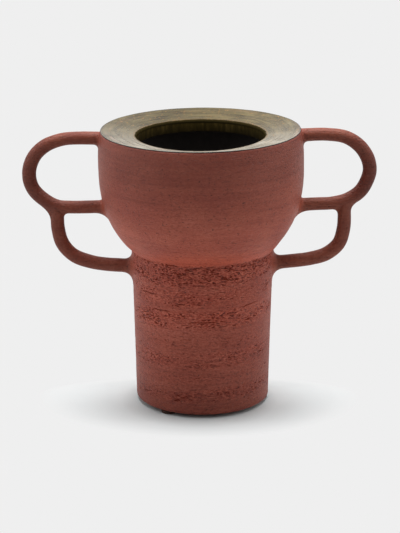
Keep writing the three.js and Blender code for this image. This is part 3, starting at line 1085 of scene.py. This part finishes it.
def make_world():
    """A soft even light, which looks like the pale background where it is seen."""
    world = bpy.data.worlds.new("studio")
    bpy.context.scene.world = world
    world.use_nodes = True
    tree = world.node_tree
    tree.nodes.clear()
    soft = tree.nodes.new("ShaderNodeBackground")
    soft.inputs["Color"].default_value = (1, 1, 1, 1)
    soft.inputs["Strength"].default_value = WORLD_LIGHT
    pale = tree.nodes.new("ShaderNodeBackground")
    pale.inputs["Color"].default_value = (*BACKGROUND, 1)
    mix = tree.nodes.new("ShaderNodeMixShader")
    out = tree.nodes.new("ShaderNodeOutputWorld")
    tree.links.new(looked_at(tree), mix.inputs[0])
    tree.links.new(soft.outputs[0], mix.inputs[1])
    tree.links.new(pale.outputs[0], mix.inputs[2])
    tree.links.new(mix.outputs[0], out.inputs["Surface"])


# The floor's values are in metres
FLOOR = (0.735, 0.778, 0.782)
FLOOR_SIZE = 3.0

# Painted light and shade that vary the floor's tone from front to back, against its own colour
FLOOR_FRONT = -0.02
FLOOR_BACK = 0.06
FLOOR_PAINTED_LIGHT = [(0, 1.06), (0.25, 1.07), (0.45, 1.12), (0.7, 1.07), (1, 0.86)]

# A painted contact shadow, deepest round a place just in front of the foot's middle, out to these
# distances from it
CONTACT_PLACE = (0, -0.012, 0)
CONTACT_NEAR = 0.048
CONTACT_FAR = 0.068
PAINTED_SHADOW_TONE = 0.78

# Painted shade: the tone falls off between these distances from the middle
DULL_NEAR = 0.075
DULL_FAR = 0.115
DULL_TONE = 0.89

# The floor fades into the background between these distances, sooner in front and behind
FLOOR_NEAR = 0.07
FLOOR_FAR = 0.14
FADE_IN_FRONT = 1.4
FADE_BEHIND = 3.0
FADE_POWER = 1.6


def make_floor():
    """A pale floor that keeps the vase's shadow, with painted light and shade and a painted
    contact shadow by the foot, and fades into the background further out.
    """
    graph = Graph("pale_floor")
    x, y, _ = graph.split(graph.place)
    deep = graph.math("MAXIMUM", graph.math("MULTIPLY", y, -FADE_IN_FRONT),
                      graph.math("MULTIPLY", y, FADE_BEHIND))
    reach = graph.hypotenuse(x, deep)
    # Painted light and shade from front to back
    tones = [(place, (share, share, share)) for place, share in FLOOR_PAINTED_LIGHT]
    tone = graph.ramp(graph.span(y, FLOOR_FRONT, FLOOR_BACK), tones)
    tone = graph.mix(1.0, FLOOR, tone, "MULTIPLY")
    # Painted shade further out, and a painted contact shadow by the foot
    dull = graph.span(reach, DULL_NEAR, DULL_FAR, 1.0, DULL_TONE)
    near = graph.node("ShaderNodeVectorMath", operation="DISTANCE")
    graph.feed(near.inputs[0], graph.place)
    graph.feed(near.inputs[1], CONTACT_PLACE)
    contact = graph.span(near.outputs["Value"], CONTACT_NEAR, CONTACT_FAR, PAINTED_SHADOW_TONE, 1.0)
    tone = graph.times(tone, graph.math("MULTIPLY", dull, contact))
    graph.set(Base_Color=tone, Roughness=0.9, Specular_IOR_Level=0.1)
    fade = graph.math("POWER", graph.span(reach, FLOOR_NEAR, FLOOR_FAR), FADE_POWER)
    glow = graph.node("ShaderNodeEmission")
    glow.inputs["Color"].default_value = (*BACKGROUND, 1)
    mix = graph.node("ShaderNodeMixShader")
    out = graph.tree.nodes["Material Output"]
    graph.feed(mix.inputs[0], graph.math("MULTIPLY", fade, looked_at(graph.tree)))
    graph.feed(mix.inputs[1], graph.shader.outputs[0])
    graph.feed(mix.inputs[2], glow.outputs[0])
    graph.feed(out.inputs["Surface"], mix.outputs[0])
    size = FLOOR_SIZE
    corners = np.array([(-size, -size, 0), (size, -size, 0), (size, size, 0), (-size, size, 0)])
    mesh_piece("floor", corners, [(0, 1, 2, 3)], graph.material)


# The camera's place in metres, how far it looks down in degrees, and its lens and sensor
EYE = (0.0005, -1.6247, 0.6179)
EYE_DOWN = 17.12
LENS = 133.66
SENSOR_HEIGHT = 36


def make_camera():
    camera = bpy.data.cameras.new("camera")
    camera.sensor_fit = "VERTICAL"
    camera.sensor_height = SENSOR_HEIGHT
    camera.lens = LENS
    eye = bpy.data.objects.new("camera", camera)
    eye.location = EYE
    eye.rotation_euler = (math.radians(90 - EYE_DOWN), 0, 0)
    bpy.context.scene.collection.objects.link(eye)
    bpy.context.scene.camera = eye


bpy.context.scene.view_settings.view_transform = "Standard"
red_clay = clay_material("red_clay", on_body=True)
band_clay = clay_material("band_clay", on_body=True)
coil_clay = clay_material("coil_clay", on_body=False)
make_base(red_clay)
make_column(red_clay)
make_band(band_clay)
make_bowl(red_clay)
make_rim(red_clay)
make_rim_glaze(rim_material())
make_lining(dark_glaze_material())
for loop_side, loop_shape in LOOPS.items():
    make_loops(loop_side, loop_shape, coil_clay)
felt = felt_material()
for pad_node in ("pad_front_left", "pad_right", "pad_back_left"):
    make_pad(pad_node, felt)
make_world()
make_floor()
for lamp_name, (lamp_place, lamp_size, lamp_power) in LAMPS.items():
    area_light(lamp_name, lamp_place, AIM, lamp_size, lamp_power)
make_camera()
